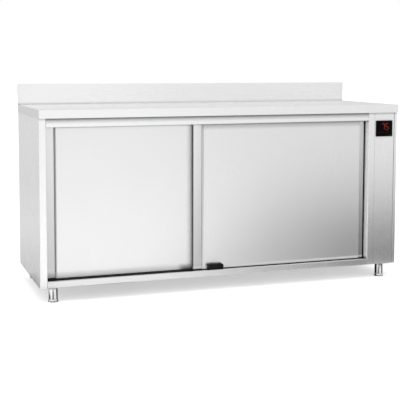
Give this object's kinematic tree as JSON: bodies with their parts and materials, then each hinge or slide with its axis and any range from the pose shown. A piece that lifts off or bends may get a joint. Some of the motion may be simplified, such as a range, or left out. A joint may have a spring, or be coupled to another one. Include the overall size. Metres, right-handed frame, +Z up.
{
  "type": "plate warmer cabinet",
  "caption": "Stainless steel heated cupboard for plates, with sliding front doors, an inner shelf, a worktop with a rear upstand, a digital heat control and round legs.",
  "frame": {"origin": "on the floor, under the middle of the worktop's width and depth", "axes": "+X to the right seen from the front, +Y from the front to the back, +Z up"},
  "size_m": [1.8, 0.6, 0.97],
  "materials": {
    "satin_stainless": "satin",
    "door_stainless": "satin",
    "inner_stainless": "satin",
    "galvanised_steel": "matte",
    "bright_stainless": "gloss",
    "zinc_plated_steel": "satin",
    "track_aluminium": "satin",
    "element_steel": "matte",
    "motor_enamel": "satin",
    "black_rubber": "matte",
    "black_plastic": "matte",
    "smoked_glass": "gloss",
    "display_red": "gloss",
    "white_plastic": "matte",
    "grey_plastic": "matte",
    "mineral_wool": "matte"
  },
  "bodies": {
    "cabinet": {"worktop": "satin_stainless", "upstand_end_caps": "satin_stainless", "left_side_panel": "satin_stainless", "right_side_panel": "satin_stainless", "sill": "satin_stainless", "top_rail": "satin_stainless", "control_fascia": "satin_stainless", "left_liner": "inner_stainless", "back_liner": "inner_stainless", "floor_liner": "inner_stainless", "ceiling_liner": "inner_stainless", "partition_wall": "inner_stainless", "shelf": "inner_stainless", "shelf_stiffener": "inner_stainless", "shelf_supports": "inner_stainless", "back_panel": "galvanised_steel", "base_pan": "galvanised_steel", "worktop_stiffeners": "galvanised_steel", "heater_housing": "galvanised_steel", "din_rail": "galvanised_steel", "leg_tubes": "bright_stainless", "guide_block_screws": "zinc_plated_steel", "back_panel_rivets": "zinc_plated_steel", "leg_fittings": "zinc_plated_steel", "temperature_probe": "zinc_plated_steel", "door_track": "track_aluminium", "heating_element": "element_steel", "fan_motor": "motor_enamel", "door_seals": "black_rubber", "track_stops": "black_rubber", "door_guide_block": "black_plastic", "display_bezel": "black_plastic", "controller_housing": "black_plastic", "safety_thermostat": "black_plastic", "contactor": "black_plastic", "cable_gland": "black_plastic", "display_glass": "smoked_glass", "display_digits": "display_red", "terminal_block": "grey_plastic", "wall_insulation": "mineral_wool"},
    "left_door": {"left_door_skin": "door_stainless", "left_door_liner": "inner_stainless", "left_door_core": "mineral_wool", "left_door_hangers": "zinc_plated_steel", "left_door_axles_and_screws": "zinc_plated_steel"},
    "right_door": {"right_door_skin": "door_stainless", "right_door_liner": "inner_stainless", "right_door_core": "mineral_wool", "right_door_hangers": "zinc_plated_steel", "right_door_axles_and_screws": "zinc_plated_steel"},
    "fan_rotor": {"fan_impeller": "track_aluminium", "fan_shaft": "zinc_plated_steel"},
    "left_door_left_rollers": {"left_door_left_rollers": "white_plastic"},
    "left_door_right_rollers": {"left_door_right_rollers": "white_plastic"},
    "right_door_left_rollers": {"right_door_left_rollers": "white_plastic"},
    "right_door_right_rollers": {"right_door_right_rollers": "white_plastic"},
    "front_left_foot": {"front_left_foot": "bright_stainless"},
    "front_right_foot": {"front_right_foot": "bright_stainless"},
    "rear_left_foot": {"rear_left_foot": "bright_stainless"},
    "rear_right_foot": {"rear_right_foot": "bright_stainless"}
  },
  "joints": [
    {"name": "left_door_slide", "type": "slide", "parent": "cabinet", "child": "left_door", "axis": [1, 0, 0], "range_m": [0, 0.6948]},
    {"name": "right_door_slide", "type": "slide", "parent": "cabinet", "child": "right_door", "axis": [-1, 0, 0], "range_m": [0, 0.6948]},
    {"name": "left_door_left_roller_spin", "type": "hinge", "parent": "left_door", "child": "left_door_left_rollers", "pos_m": [-0.7884, -0.223, 0.8178], "axis": [0, 1, 0], "range_deg": [0, 4020.7]},
    {"name": "left_door_right_roller_spin", "type": "hinge", "parent": "left_door", "child": "left_door_right_rollers", "pos_m": [-0.0304, -0.223, 0.8178], "axis": [0, 1, 0], "range_deg": [0, 4020.7]},
    {"name": "right_door_left_roller_spin", "type": "hinge", "parent": "right_door", "child": "right_door_left_rollers", "pos_m": [-0.0936, -0.25, 0.8178], "axis": [0, 1, 0], "range_deg": [-4020.7, 0]},
    {"name": "right_door_right_roller_spin", "type": "hinge", "parent": "right_door", "child": "right_door_right_rollers", "pos_m": [0.6644, -0.25, 0.8178], "axis": [0, 1, 0], "range_deg": [-4020.7, 0]},
    {"name": "fan_spin", "type": "hinge", "parent": "cabinet", "child": "fan_rotor", "pos_m": [0.78, 0.02, 0.285], "axis": [1, 0, 0], "continuous": true},
    {"name": "front_left_foot_screw", "type": "slide", "parent": "cabinet", "child": "front_left_foot", "axis": [0, 0, -1], "range_m": [0, 0.02]},
    {"name": "front_right_foot_screw", "type": "slide", "parent": "cabinet", "child": "front_right_foot", "axis": [0, 0, -1], "range_m": [0, 0.02]},
    {"name": "rear_left_foot_screw", "type": "slide", "parent": "cabinet", "child": "rear_left_foot", "axis": [0, 0, -1], "range_m": [0, 0.02]},
    {"name": "rear_right_foot_screw", "type": "slide", "parent": "cabinet", "child": "rear_right_foot", "axis": [0, 0, -1], "range_m": [0, 0.02]}
  ],
  "couplings": [
    {"joint": "left_door_left_roller_spin", "follows": "left_door_slide", "rad_per_m": 100},
    {"joint": "left_door_right_roller_spin", "follows": "left_door_slide", "rad_per_m": 100},
    {"joint": "right_door_left_roller_spin", "follows": "right_door_slide", "rad_per_m": -100},
    {"joint": "right_door_right_roller_spin", "follows": "right_door_slide", "rad_per_m": -100}
  ]
}
